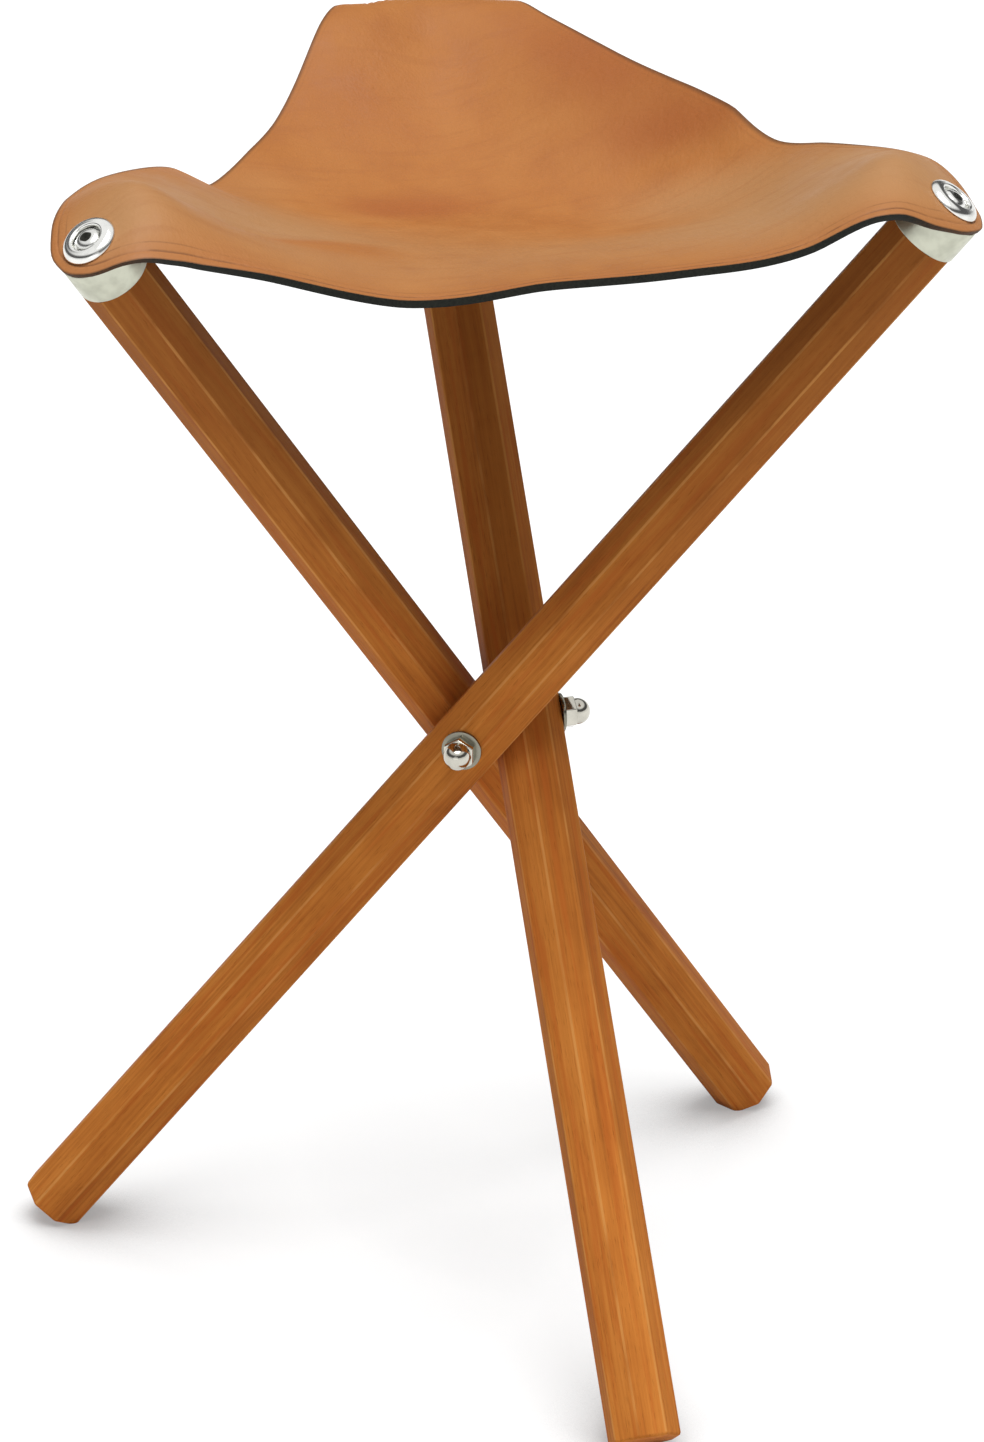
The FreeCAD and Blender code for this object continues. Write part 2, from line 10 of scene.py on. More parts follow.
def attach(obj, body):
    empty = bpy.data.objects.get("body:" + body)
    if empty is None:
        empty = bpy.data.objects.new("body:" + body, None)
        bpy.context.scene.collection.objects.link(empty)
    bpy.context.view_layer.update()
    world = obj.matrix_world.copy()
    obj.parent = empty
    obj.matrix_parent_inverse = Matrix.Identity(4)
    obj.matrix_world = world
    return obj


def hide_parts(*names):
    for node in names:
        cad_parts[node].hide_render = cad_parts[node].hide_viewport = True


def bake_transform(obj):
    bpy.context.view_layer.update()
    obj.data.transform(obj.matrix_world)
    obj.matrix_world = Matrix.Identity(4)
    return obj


# Folding three-leg stool with a leather seat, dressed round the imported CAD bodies.
# Metres, +Z up, floor at z = 0. Each leg is named by the seat corner that it carries.

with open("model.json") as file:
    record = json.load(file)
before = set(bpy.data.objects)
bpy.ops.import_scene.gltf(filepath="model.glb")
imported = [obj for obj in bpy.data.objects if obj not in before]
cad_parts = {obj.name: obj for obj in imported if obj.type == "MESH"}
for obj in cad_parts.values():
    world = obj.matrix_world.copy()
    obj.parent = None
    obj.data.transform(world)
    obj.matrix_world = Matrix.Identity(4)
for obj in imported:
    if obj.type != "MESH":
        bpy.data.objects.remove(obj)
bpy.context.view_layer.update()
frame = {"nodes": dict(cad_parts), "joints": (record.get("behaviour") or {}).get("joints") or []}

MM = 0.001
UP = Vector((0, 0, 1))
CORNERS = ("left", "right", "rear")
HINGES = {joint["child"]: joint for joint in frame["joints"]}
HUB = Vector(frame["joints"][0]["pos_m"])
TILT = math.radians(frame["joints"][0]["range_deg"][1])

# Sizes shared with the CAD source, in millimetres.
LEG_FLATS = 30.0
LEG_FOOT = -328.0
LEG_END = 332.0
PIVOT_OFFSET = 20.0
FOOT_CHAMFER = 1.5
FERRULE_RADIUS = 16.0
FERRULE_WALL = 1.2
FERRULE_LENGTH = 16.0
LEATHER = 3.5
LEATHER_GAP = 0.2
LEATHER_PRESS = 0.15
WASHER_SEAT = LEG_END + LEATHER + 2 * LEATHER_GAP - LEATHER_PRESS
CUP_RADIUS = 12.0
CUP_HEIGHT = 3.2
SCREW_RADIUS = 2.5
SCREW_LENGTH = 42.0
SCREW_POINT = 6.0
SCREW_HEAD_RADIUS = 5.5
BOLT_WASHER_RADIUS = 9.0
BOLT_WASHER_THICK = 1.5
BOLT_WASHER_GAP = 0.1
NUT_FLATS = 13.0
NUT_HEX = 5.5
NUT_HEIGHT = 13.0
NUT_DOME_RADIUS = 6.0

# Finer sizes that only this scene has: millimetres, degrees and counts.
ARRIS_ROUNDING = 1.1
SPIGOT_INSET = 1.6
FERRULE_EASING = 0.45
CUP_HOLE = 2.6
SHANK_TOP = 0.7
HEAD_TOP = 3.25
SOCKET_RADIUS = 2.35
SOCKET_INSIDE = 2.2
SOCKET_DEPTH = 2.0
SOCKET_TURN = 14
BOLT_WASHER_HOLE = 4.1
BOLT_WASHER_EASING = 0.3
NUT_EASING = 0.55
DOME_STEPS = 12
# How far along the grain each leg is from the next one, so that no two look the same.
GRAIN_SHIFT = 1700.0
# Distances from a leg's axis between which the arrises turn paler, from wear and a painted highlight along
# the eased edge.
ARRIS_FROM = 15.88
ARRIS_TO = 15.99

# Camera of the photograph, found by fitting the legs: degrees, millimetres and photo pixels.
PHOTO_WIDTH = 984
PHOTO_HEIGHT = 1442
VIEW_AZIMUTH = -14.958
VIEW_ELEVATION = 22.609
VIEW_ROLL = 0.233
VIEW_DISTANCE = 2464.3
VIEW_FOCAL = 5523.9
VIEW_CENTRE = (482.8, 720.3)


def directions(corner):
    """Level unit vectors of a corner: outwards along its leg's lean, and along its bolt arm."""
    arm = Vector(HINGES[corner + "_leg"]["axis"]).normalized()
    return Vector((-arm.y, arm.x, 0)), arm


def leg_frame(corner):
    """Leg's own frame at its bolt hole: X along the bolt arm, Z up the leg."""
    lean, arm = directions(corner)
    up_leg = lean * math.sin(TILT) + UP * math.cos(TILT)
    placed = Matrix((arm, up_leg.cross(arm), up_leg)).transposed().to_4x4()
    placed.translation = HUB + arm * PIVOT_OFFSET * MM
    return placed


def arm_frame(corner):
    """Frame of a bolt arm: Z along the arm, from the middle of the crossing."""
    lean, arm = directions(corner)
    placed = Matrix((lean, UP, arm)).transposed().to_4x4()
    placed.translation = HUB
    return placed


# Modelling helpers. Profiles and sizes go in as millimetres.


def add_object(name, mesh, materials, body=None, node=None):
    piece = bpy.data.objects.new(name, mesh)
    bpy.context.scene.collection.objects.link(piece)
    for material in materials:
        mesh.materials.append(material)
    if node:
        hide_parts(node)
    if body:
        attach(piece, body)
    return piece


def mesh_from(bm, name, placed=None, sharp=35):
    """Mesh of a finished bmesh, moved from millimetres in its own frame to its place."""
    move = Matrix.Scale(MM, 4)
    if placed is not None:
        move = placed @ move
    bmesh.ops.transform(bm, matrix=move, verts=bm.verts)
    mesh = bpy.data.meshes.new(name)
    bm.to_mesh(mesh)
    bm.free()
    mesh.shade_smooth()
    mesh.set_sharp_from_angle(angle=math.radians(sharp))
    return mesh


def turn(bm, profile, steps=72):
    """Spin an outline of (radius, height) points round Z. A closed outline repeats its first point."""
    points = [bm.verts.new((radius, 0, height)) for radius, height in profile[:-1]]
    if profile[0] == profile[-1]:
        points.append(points[0])
    else:
        points.append(bm.verts.new((profile[-1][0], 0, profile[-1][1])))
    edges = [bm.edges.new(pair) for pair in zip(points, points[1:])]
    ring = list(dict.fromkeys(points))
    bmesh.ops.spin(
        bm, geom=ring + edges, cent=(0, 0, 0), axis=(0, 0, 1),
        angle=2 * math.pi, steps=steps, use_merge=True,
    )
    bmesh.ops.remove_doubles(bm, verts=bm.verts, dist=0.001)
    bmesh.ops.recalc_face_normals(bm, faces=bm.faces)


def ease(bm, edges, width, segments=2):
    """Round the given edges."""
    bmesh.ops.bevel(
        bm, geom=edges, offset=width, segments=segments, profile=0.5,
        affect="EDGES", material=-1, clamp_overlap=True,
    )


def round_edges(bm, width, segments=2, least=30):
    """Bevel every edge that bends by more than the least angle."""
    sharp = [
        edge for edge in bm.edges
        if len(edge.link_faces) == 2 and edge.calc_face_angle() > math.radians(least)
    ]
    ease(bm, sharp, width, segments)


def arc(start, end, bulge, count=6):
    """Points from start to end on an arc that swells to the right of the way by bulge."""
    start, end = Vector(start), Vector(end)
    run = end - start
    side = Vector((run.y, -run.x)).normalized()
    points = []
    for number in range(count + 1):
        share = number / count
        points.append(tuple(start + run * share + side * bulge * 4 * share * (1 - share)))
    return points


# Materials


class Nodes:
    """The node tree of a material or the world, with short calls to add and join nodes."""

    def __init__(self, owner, shader="Principled BSDF"):
        owner.use_nodes = True
        self.tree = owner.node_tree
        self.shader = self.tree.nodes[shader]

    def add(self, kind, settings=None, **sockets):
        node = self.tree.nodes.new("ShaderNode" + kind)
        for key, value in (settings or {}).items():
            setattr(node, key, value)
        for key, value in sockets.items():
            self.put(node.inputs[key.replace("_", " ")], value)
        return node

    def put(self, socket, value):
        if isinstance(value, bpy.types.NodeSocket):
            self.tree.links.new(value, socket)
        else:
            socket.default_value = value

    def set(self, **sockets):
        for key, value in sockets.items():
            self.put(self.shader.inputs[key.replace("_", " ")], value)

    def attribute(self, name):
        return self.add("Attribute", {"attribute_name": name, "attribute_type": "GEOMETRY"})

    def scaled(self, vector, scale):
        return self.add("Mapping", Vector=vector, Scale=scale).outputs[0]

    def noise(self, vector, scale=1.0, detail=3.0, roughness=0.5):
        made = self.add("TexNoise", Vector=vector, Scale=scale, Detail=detail, Roughness=roughness)
        return made.outputs["Fac"]

    def ramp(self, value, *stops):
        made = self.add("ValToRGB", Fac=value)
        band = made.color_ramp
        while len(band.elements) < len(stops):
            band.elements.new(0.5)
        for element, (place, colour) in zip(band.elements, stops):
            element.position = place
            element.color = (*colour, 1)
        return made.outputs["Color"]

    def mix(self, factor, first, second, how="MIX"):
        made = self.add("Mix", {"data_type": "RGBA", "blend_type": how})
        for number, value in ((0, factor), (6, first), (7, second)):
            if isinstance(value, tuple):
                value = (*value, 1)
            self.put(made.inputs[number], value)
        return made.outputs[2]

    def span(self, value, low, high, to_low=0.0, to_high=1.0):
        made = self.add(
            "MapRange", {"interpolation_type": "SMOOTHSTEP"},
            Value=value, From_Min=low, From_Max=high, To_Min=to_low, To_Max=to_high,
        )
        return made.outputs["Result"]

    def math(self, how, first, second=None):
        made = self.add("Math", {"operation": how})
        self.put(made.inputs[0], first)
        if second is not None:
            self.put(made.inputs[1], second)
        return made.outputs[0]

    def bump(self, height, distance, strength=1.0, normal=None):
        made = self.add("Bump", Height=height, Distance=distance, Strength=strength)
        if normal is not None:
            self.put(made.inputs["Normal"], normal)
        return made.outputs["Normal"]

    def watched(self):
        """1 for rays from the camera or by way of a reflection, and 0 for light that falls on things."""
        path = self.add("LightPath").outputs
        straight = self.math("MAXIMUM", path["Is Camera Ray"], path["Is Glossy Ray"])
        return self.math("MAXIMUM", straight, path["Is Transmission Ray"])


def oiled_wood():
    """Warm orange-brown hardwood, grain along the leg, browner towards the top as painted shade for the
    seat's shadow, and paler on the arrises from wear and a painted highlight.
    """
    finish = bpy.data.materials.new("oiled_wood")
    made = Nodes(finish)
    place = made.attribute("grain").outputs["Vector"]
    flow = made.noise(made.scaled(place, (130, 130, 3.2)), detail=2.0)
    streaks = made.noise(made.scaled(place, (620, 620, 13)), detail=4.0, roughness=0.62)
    blotches = made.noise(made.scaled(place, (60, 60, 26)), detail=3.0)
    figure = made.math("ADD", made.math("MULTIPLY", flow, 0.34), made.math("MULTIPLY", streaks, 0.40))
    figure = made.math("ADD", figure, made.math("MULTIPLY", blotches, 0.26))
    colour = made.ramp(
        figure,
        (0.36, (0.375, 0.112, 0.022)),
        (0.46, (0.510, 0.166, 0.031)),
        (0.54, (0.580, 0.200, 0.038)),
        (0.64, (0.655, 0.238, 0.049)),
    )
    redness = made.noise(made.scaled(place, (240, 240, 9)), detail=3.0, roughness=0.6)
    colour = made.mix(made.span(redness, 0.48, 0.66, 0.0, 0.6), colour, (0.505, 0.126, 0.023))
    # Painted shade: the wood darkens and browns towards the top of the leg, standing in for the seat's
    # shadow over the upper legs.
    up_leg = made.attribute("up_leg").outputs["Fac"]
    colour = made.mix(made.span(up_leg, -0.02, 0.30, 0.0, 0.60), colour, (0.240, 0.084, 0.024))
    pores = made.noise(made.scaled(place, (2600, 2600, 130)), detail=2.0)
    pore_lines = made.span(pores, 0.60, 0.72)
    colour = made.mix(made.math("MULTIPLY", pore_lines, 0.45), colour, (0.24, 0.066, 0.010))
    # Paler arrises: wear, and a painted highlight along each eased edge, laid on in patches.
    reach = made.add("VectorMath", {"operation": "LENGTH"}, Vector=made.scaled(place, (1, 1, 0)))
    arris_highlight = made.span(reach.outputs["Value"], ARRIS_FROM * MM, ARRIS_TO * MM)
    worn = made.span(blotches, 0.36, 0.60, 0.12, 0.52)
    colour = made.mix(made.math("MULTIPLY", arris_highlight, worn), colour, (0.760, 0.370, 0.110))
    made.set(
        Base_Color=colour,
        Roughness=made.span(streaks, 0.25, 0.75, 0.42, 0.56),
        Specular_IOR_Level=0.015,
        Specular_Tint=(1.0, 0.62, 0.30, 1),
        Normal=made.bump(made.math("ADD", pore_lines, made.math("MULTIPLY", streaks, -0.8)), 0.00012, 0.6),
    )
    return finish


def tan_leather():
    """Grain side of the seat: tan, cloudy, paler or deeper by place as painted light and shade, creased and
    inked at the cut edges.
    """
    finish = bpy.data.materials.new("tan_leather")
    made = Nodes(finish)
    place = made.add("UVMap", {"uv_map": "cut"}).outputs["UV"]
    clouds = made.noise(made.scaled(place, (13, 13, 1)), detail=3.0, roughness=0.55)
    patches = made.noise(made.scaled(place, (55, 55, 1)), detail=4.0, roughness=0.6)
    mottle = made.math("ADD", made.math("MULTIPLY", clouds, 0.6), made.math("MULTIPLY", patches, 0.4))
    colour = made.ramp(
        mottle,
        (0.32, (0.415, 0.142, 0.030)),
        (0.50, (0.472, 0.176, 0.041)),
        (0.66, (0.510, 0.204, 0.054)),
    )
    # The tone attribute paints light and shade on the leather: paler where it faces the light, deeper where
    # shade falls in the hollows and on the slopes turned from the light.
    tone = made.attribute("tone").outputs["Fac"]
    colour = made.mix(made.span(tone, 0.0, 1.0, 0.0, 0.9), colour, (0.492, 0.256, 0.107))
    colour = made.mix(made.span(tone, -1.0, 0.0, 0.85, 0.0), colour, (0.385, 0.112, 0.026))
    stretch = made.noise(made.scaled(place, (20, 170, 1)), detail=4.0, roughness=0.6)
    colour = made.mix(made.span(stretch, 0.50, 0.70, 0.0, 0.22), colour, (0.360, 0.118, 0.030))
    rim = made.attribute("rim").outputs["Fac"]
    towards_rear = made.add("SeparateXYZ", Vector=place).outputs["Y"]
    front = made.span(towards_rear, -0.09, -0.02, 1.0, 0.15)
    edge_tone = made.math("MULTIPLY", made.span(rim, 0.0, 12 * MM, 0.28, 0.0), front)
    colour = made.mix(edge_tone, colour, (0.395, 0.115, 0.026))
    broken = made.math("MULTIPLY", made.span(patches, 0.40, 0.58, 0.25, 1.0), front)
    for inset, width, strength in ((3.2, 0.6, 0.62), (6.4, 0.5, 0.36)):
        gap = made.math("ABSOLUTE", made.math("SUBTRACT", rim, inset * MM))
        crease = made.math("MULTIPLY", made.span(gap, 0.0, width * MM, strength, 0.0), broken)
        colour = made.mix(crease, colour, (0.150, 0.055, 0.018))
    inked = made.span(towards_rear, -0.10, -0.03, 0.8 * MM, 2.2 * MM)
    burnish = made.span(rim, 0.0, inked, 0.75, 0.0)
    colour = made.mix(burnish, colour, (0.075, 0.036, 0.016))
    pebbles = made.add("TexVoronoi", {"feature": "SMOOTH_F1"}, Vector=place, Scale=820.0)
    fine = made.noise(place, scale=2100.0, detail=2.0)
    grain = made.math("ADD", pebbles.outputs["Distance"], made.math("MULTIPLY", fine, 0.5))
    wrinkles = made.noise(made.scaled(place, (140, 140, 1)), detail=5.0, roughness=0.65)
    soft = made.bump(wrinkles, 0.0012, 0.35)
    made.set(
        Base_Color=colour,
        Roughness=made.span(patches, 0.3, 0.7, 0.50, 0.64),
        Specular_IOR_Level=0.3,
        Normal=made.bump(grain, 0.00022, 0.55, soft),
    )
    return finish


def cut_edge():
    """Inked edge of the leather: near black with a green-grey cast, worn to brown on the tips."""
    finish = bpy.data.materials.new("cut_edge")
    made = Nodes(finish)
    place = made.add("TexCoord").outputs["Object"]
    fibres = made.noise(place, scale=900.0, detail=3.0)
    ink = made.ramp(fibres, (0.3, (0.006, 0.007, 0.005)), (0.7, (0.024, 0.026, 0.020)))
    worn = made.ramp(fibres, (0.3, (0.040, 0.018, 0.008)), (0.7, (0.110, 0.052, 0.022)))
    made.set(
        Base_Color=made.mix(made.attribute("tip").outputs["Fac"], ink, worn),
        Roughness=made.span(fibres, 0.3, 0.7, 0.50, 0.68),
        Specular_IOR_Level=0.15,
        Normal=made.bump(fibres, 0.0002, 0.4),
    )
    return finish


def flesh_side():
    """Underside of the leather: dull brown nap, kept dark as painted shade for the shadow under the seat.
    """
    finish = bpy.data.materials.new("flesh_side")
    made = Nodes(finish)
    place = made.add("UVMap", {"uv_map": "cut"}).outputs["UV"]
    nap = made.noise(place, scale=700.0, detail=5.0, roughness=0.7)
    broad = made.noise(place, scale=24.0, detail=3.0)
    colour = made.ramp(broad, (0.3, (0.120, 0.062, 0.030)), (0.7, (0.190, 0.100, 0.048)))
    made.set(
        Base_Color=made.mix(made.math("MULTIPLY", nap, 0.35), colour, (0.085, 0.045, 0.022)),
        Roughness=0.86,
        Specular_IOR_Level=0.2,
        Normal=made.bump(nap, 0.0006, 0.5),
    )
    return finish


def metal(name, colour, smooth, rough, scratch_scale):
    """Metal with a slightly uneven polish and hair-line marks."""
    finish = bpy.data.materials.new(name)
    made = Nodes(finish)
    place = made.add("TexCoord").outputs["Object"]
    cloud = made.noise(place, scale=140.0, detail=3.0)
    hair = made.noise(made.scaled(place, (1.0, 1.0, 0.12)), scale=scratch_scale, detail=2.0)
    dull = tuple(0.86 * part for part in colour)
    made.set(
        Base_Color=made.mix(made.span(cloud, 0.35, 0.7), colour, dull),
        Metallic=1.0,
        Roughness=made.span(cloud, 0.3, 0.7, smooth, rough),
        Normal=made.bump(hair, 0.00003, 0.35),
    )
    return finish


# Wooden legs


def make_leg(corner, wood):
    """Octagonal stave with eased arrises, a spigot for the ferrule and a foot cut level."""
    bm = bmesh.new()
    radius = LEG_FLATS / 2 / math.cos(math.pi / 8)
    foot = Matrix.Translation((0, 0, LEG_FOOT)) @ Matrix.Rotation(math.pi / 8, 4, "Z")
    bmesh.ops.create_circle(bm, cap_ends=True, segments=8, radius=radius, matrix=foot)
    shoulder = LEG_END - FERRULE_LENGTH
    raise_face(bm, bm.faces[:], shoulder - LEG_FOOT)
    bmesh.ops.recalc_face_normals(bm, faces=bm.faces)
    arrises = [edge for edge in bm.edges if abs(edge.verts[0].co.z - edge.verts[1].co.z) > 1]
    ease(bm, arrises, ARRIS_ROUNDING, segments=3)
    foot_rim = [edge for edge in bm.edges if all(abs(v.co.z - LEG_FOOT) < 0.01 for v in edge.verts)]
    ease(bm, foot_rim, FOOT_CHAMFER)
    top = [face for face in bm.faces if face.calc_center_median().z > shoulder - 0.01]
    bmesh.ops.inset_region(bm, faces=top, thickness=SPIGOT_INSET, use_even_offset=True)
    raise_face(bm, top, FERRULE_LENGTH)
    cut_foot_level(bm)
    add_grain(bm, CORNERS.index(corner))
    mesh = mesh_from(bm, corner + "_leg_wood", leg_frame(corner), sharp=50)
    piece = add_object(
        corner + "_leg_wood", mesh, [wood], corner + "_leg", corner + "_leg")
    crisp = piece.modifiers.new("even_flats", "WEIGHTED_NORMAL")
    crisp.weight = 80


def raise_face(bm, faces, height):
    """Draw flat faces straight up into a solid."""
    made = bmesh.ops.extrude_face_region(bm, geom=faces)
    lifted = [item for item in made["geom"] if isinstance(item, bmesh.types.BMVert)]
    bmesh.ops.translate(bm, verts=lifted, vec=(0, 0, height))


def cut_foot_level(bm):
    """Take off what would be below the floor, seen in the leg's frame."""
    floor_up = Vector((0, -math.sin(TILT), math.cos(TILT)))
    floor_point = floor_up * (-HUB.z / MM)
    cut = bmesh.ops.bisect_plane(
        bm, geom=bm.verts[:] + bm.edges[:] + bm.faces[:], dist=0.0001,
        plane_co=floor_point, plane_no=floor_up, clear_inner=True,
    )
    rim = [item for item in cut["geom_cut"] if isinstance(item, bmesh.types.BMEdge)]
    bmesh.ops.holes_fill(bm, edges=rim, sides=0)
    bmesh.ops.recalc_face_normals(bm, faces=bm.faces)


def add_grain(bm, number):
    """Keep each point's place in the leg, so that the grain follows the wood. Legs differ along it."""
    layer = bm.verts.layers.float_vector.new("grain")
    # up_leg is each point's height along the leg, which the wood reads to paint the seat's shade onto the
    # upper leg.
    up_leg = bm.verts.layers.float.new("up_leg")
    for vert in bm.verts:
        vert[layer] = Vector((vert.co.x, vert.co.y, vert.co.z + GRAIN_SHIFT * number)) * MM
        vert[up_leg] = vert.co.z * MM


# Metal fittings


def make_ferrule(corner, satin):
    """Drawn metal ring with a rolled lip at both ends."""
    bm = bmesh.new()
    outside = FERRULE_RADIUS
    inside = FERRULE_RADIUS - FERRULE_WALL
    low = LEG_END - FERRULE_LENGTH
    turn(bm, [
        (inside, low), (outside, low), (outside, LEG_END), (inside, LEG_END), (inside, low),
    ], steps=96)
    round_edges(bm, FERRULE_EASING, segments=3)
    mesh = mesh_from(bm, corner + "_ferrule_ring", leg_frame(corner))
    add_object(
        corner + "_ferrule_ring", mesh, [satin], corner + "_leg", corner + "_ferrule")


def make_cup_washer(corner, bright):
    """Dished finishing washer: a round outer slope, and a throat round the screw's head."""
    bm = bmesh.new()
    profile = [(CUP_HOLE, 0.0), (CUP_RADIUS - 0.3, 0.0), (CUP_RADIUS, 0.35)]
    profile += arc((CUP_RADIUS, 0.6), (8.2, 3.1), 0.75, 8)
    profile += arc((7.9, CUP_HEIGHT), (6.5, 2.2), 0.45, 6)
    profile += [(6.3, 1.0), (5.7, 0.7), (CUP_HOLE, 0.6), (CUP_HOLE, 0.0)]
    turn(bm, profile, steps=96)
    seat = leg_frame(corner) @ Matrix.Translation((0, 0, WASHER_SEAT * MM))
    mesh = mesh_from(bm, corner + "_cup_washer_ring", seat, sharp=50)
    add_object(
        corner + "_cup_washer_ring", mesh, [bright], corner + "_leg", corner + "_cup_washer")


def make_screw(corner, bright, shade):
    """Raised head with a hexagonal socket made dark by a painted-shade material, on a plain shank."""
    bm = bmesh.new()
    profile = [
        (0.0, -SCREW_LENGTH), (SCREW_RADIUS, SCREW_POINT - SCREW_LENGTH), (SCREW_RADIUS, SHANK_TOP),
        (5.2, 1.1), (SCREW_HEAD_RADIUS, 1.5),
    ]
    profile += arc((5.4, 1.9), (2.7, HEAD_TOP), 0.35, 7)
    turn(bm, profile, steps=48)
    rim = [edge for edge in bm.edges if edge.is_boundary]
    socket = Matrix.Translation((0, 0, HEAD_TOP)) @ Matrix.Rotation(math.radians(SOCKET_TURN), 4, "Z")
    made = bmesh.ops.create_circle(bm, segments=6, radius=SOCKET_RADIUS, matrix=socket)
    hexagon = list({edge for vert in made["verts"] for edge in vert.link_edges})
    bmesh.ops.bridge_loops(bm, edges=rim + hexagon)
    wall = bmesh.ops.extrude_edge_only(bm, edges=hexagon)["geom"]
    low = [item for item in wall if isinstance(item, bmesh.types.BMVert)]
    bmesh.ops.translate(bm, verts=low, vec=(0, 0, -SOCKET_DEPTH))
    floor = [edge for edge in bm.edges if edge.is_boundary]
    bmesh.ops.holes_fill(bm, edges=floor, sides=0)
    bmesh.ops.recalc_face_normals(bm, faces=bm.faces)
    # The socket's walls and floor take the second material, a near-black painted shade for the recess.
    for face in bm.faces:
        centre = face.calc_center_median()
        if centre.z > SHANK_TOP and centre.xy.length < SOCKET_INSIDE:
            face.material_index = 1
    seat = leg_frame(corner) @ Matrix.Translation((0, 0, WASHER_SEAT * MM))
    mesh = mesh_from(bm, corner + "_seat_screw_head", seat)
    add_object(
        corner + "_seat_screw_head", mesh, [bright, shade], corner + "_leg", corner + "_seat_screw")


def make_bolt_washer(corner, dull):
    bm = bmesh.new()
    low = PIVOT_OFFSET + LEG_FLATS / 2 + BOLT_WASHER_GAP
    high = low + BOLT_WASHER_THICK
    turn(bm, [
        (BOLT_WASHER_HOLE, low), (BOLT_WASHER_RADIUS, low), (BOLT_WASHER_RADIUS, high),
        (BOLT_WASHER_HOLE, high), (BOLT_WASHER_HOLE, low),
    ], steps=64)
    round_edges(bm, BOLT_WASHER_EASING)
    mesh = mesh_from(bm, corner + "_bolt_washer_disc", arm_frame(corner))
    add_object(
        corner + "_bolt_washer_disc", mesh, [dull], "hub", corner + "_bolt_washer")


def make_cap_nut(corner, nickel):
    """Hexagon with eased corners that runs into a neck and a dome."""
    bm = bmesh.new()
    low = PIVOT_OFFSET + LEG_FLATS / 2 + BOLT_WASHER_GAP + BOLT_WASHER_THICK
    radius = NUT_FLATS / 2 / math.cos(math.pi / 6)
    made = bmesh.ops.create_circle(
        bm, cap_ends=True, segments=6, radius=radius, matrix=Matrix.Translation((0, 0, low)))
    raise_face(bm, list({face for vert in made["verts"] for face in vert.link_faces}), NUT_HEX)
    bmesh.ops.recalc_face_normals(bm, faces=bm.faces)
    round_edges(bm, NUT_EASING, segments=3)
    neck = NUT_HEIGHT - NUT_DOME_RADIUS
    profile = [(NUT_DOME_RADIUS + 0.25, low + NUT_HEX - 0.3), (NUT_DOME_RADIUS, low + NUT_HEX + 0.4)]
    for step in range(DOME_STEPS + 1):
        turn_up = math.radians(90 * step / DOME_STEPS)
        profile.append((
            NUT_DOME_RADIUS * math.cos(turn_up) if step < DOME_STEPS else 0.0,
            low + neck + NUT_DOME_RADIUS * math.sin(turn_up),
        ))
    dome = bmesh.new()
    turn(dome, profile, steps=64)
    add_shell(bm, dome)
    mesh = mesh_from(bm, corner + "_cap_nut_dome", arm_frame(corner))
    add_object(
        corner + "_cap_nut_dome", mesh, [nickel], "hub", corner + "_cap_nut")


def add_shell(bm, other):
    """Put another bmesh's faces into this one."""
    held = bpy.data.meshes.new("held")
    other.to_mesh(held)
    other.free()
    bm.from_mesh(held)
    bpy.data.meshes.remove(held)


# Leather seat. Plan places are in millimetres from the bolt's axis, heights from the leg ends' centres.

# A tip's side, from its end to the ridge: how far down the flap from the screw, and across it.
TIP_REACH = 19.0
TIP_END_DROOP = 0.8
TIP_SIDE = ((16.5, 9.5), (12.5, 15.5), (5.0, 22.0), (-2.0, 27.0), (-14.0, 33.5))
# How far those places hang below the flap's plane, on the bolt arm's side and on the other.
TIP_DROOP = {
    "left": ((0.5, 0.5, 0.5, 1.5, 6.0), (1.0, 1.2, 2.2, 5.0, 13.5)),
    "right": ((0.7, 1.8, 3.4, 4.8, 7.0), (0.8, 1.4, 0.8, 1.2, 4.0)),
    "rear": ((0.8, 1.2, 1.5, 2.2, 5.5), (0.8, 1.2, 1.5, 2.2, 5.5)),
}
# Circles round the screw where the flap lies flat: radius, and bearings from straight down the flap.
FLAP_CIRCLES = ((9, range(0, 360, 60)), (15, (-95, -50, 0, 50, 95)))
RIDGE_INSET = 22.0
RIDGE_HALF = 40.0
END_REACH = LEG_END * math.sin(TILT)
# Ridge heights from the bolt arm's side to the other, at even steps across.
RIDGE_HEIGHTS = {
    "left": (8.0, 17.0, 21.5, 13.5, -3.0),
    "right": (6.5, 15.0, 20.0, 17.0, 10.5),
    "rear": (16.0, 19.5, 20.5, 20.5, 19.0),
}
# Free edges, anticlockwise from corner to corner: shares of the way, and heights there.
EDGE_SHARES = (0.1, 0.2, 0.3, 0.4, 0.5, 0.58, 0.66, 0.74, 0.82, 0.91)
EDGES = (
    ("left", "right", (-9, -17, -23, -22.5, -18.5, -17.2, -16, -14, -11.6, -5)),
    ("right", "rear", (7.5, 2.5, -3, 5, 8.2, 9.2, 10.5, 12.6, 14.7, 17)),
    ("rear", "left", (17, 0, -13, -17.8, -21.5, -20, -6.5, 1, 5.6, 9)),
)
EDGE_HOLLOW = 5.0
# Heights up the middle of each corner, by the reach from the bolt's axis.
CLIMB = ((158.0, 9.0), (122.0, -12.0))
# Places in the sag: x, y and height. A roll behind the front edge, a hollow at the foot of the
# rear slope, and a valley from there to the right edge.
SAG = (
    (-115, -70, -5), (-82, -62, -14), (-38, -62, -22), (20, -66, -22), (75, -66, -17),
    (-62, 18, -31), (-24, 40, -36), (18, 38, -36), (0, 0, -33),
    (78, 32, -26), (110, 16, -13),
)
